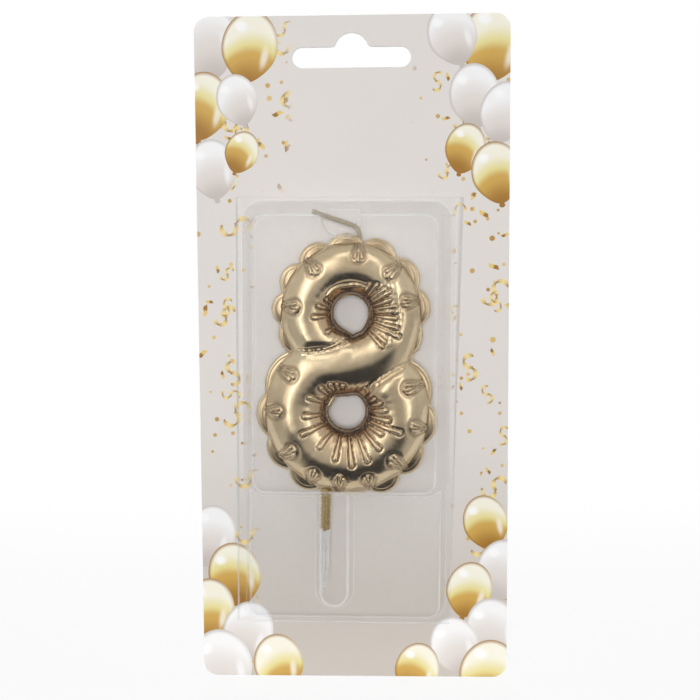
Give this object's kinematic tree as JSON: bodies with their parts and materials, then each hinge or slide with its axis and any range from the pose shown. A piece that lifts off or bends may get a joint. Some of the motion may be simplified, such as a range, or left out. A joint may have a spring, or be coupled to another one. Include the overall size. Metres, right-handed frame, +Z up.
{
  "type": "balloon number candle",
  "caption": "Gold number candle shaped like an inflated foil balloon, with wick and pick, in a clear formed blister on a hanging backing card.",
  "frame": {"origin": "top of the hang slot's arch, on the card's front face, where a display peg bears", "axes": "+X right as seen from the front, +Z up the card, -Y out of the card's printed front, +Y out of its back"},
  "size_m": [0.085, 0.0165, 0.182],
  "materials": {
    "card": "coated, printed, semi-gloss",
    "clear_sheet": "clear, glossy, vacuum-formed",
    "gold_wax": "champagne-gold metallic coat, satin",
    "wick_thread": "braided cotton, frayed tip",
    "pick_plastic": "translucent moulded plastic, gold near the candle"
  },
  "bodies": {
    "card": {"backing_card": "card"},
    "candle": {"candle_body": "gold_wax", "wick": "wick_thread", "pick": "pick_plastic"},
    "blister_shell": {"blister": "clear_sheet"}
  },
  "joints": [
    {"name": "candle_lift", "type": "slide", "parent": "card", "child": "candle", "axis": [0, -1, 0], "range_m": [0, 0.04]},
    {"name": "blister_lift", "type": "slide", "parent": "candle", "child": "blister_shell", "axis": [0, -1, 0], "range_m": [0, 0.04]}
  ]
}
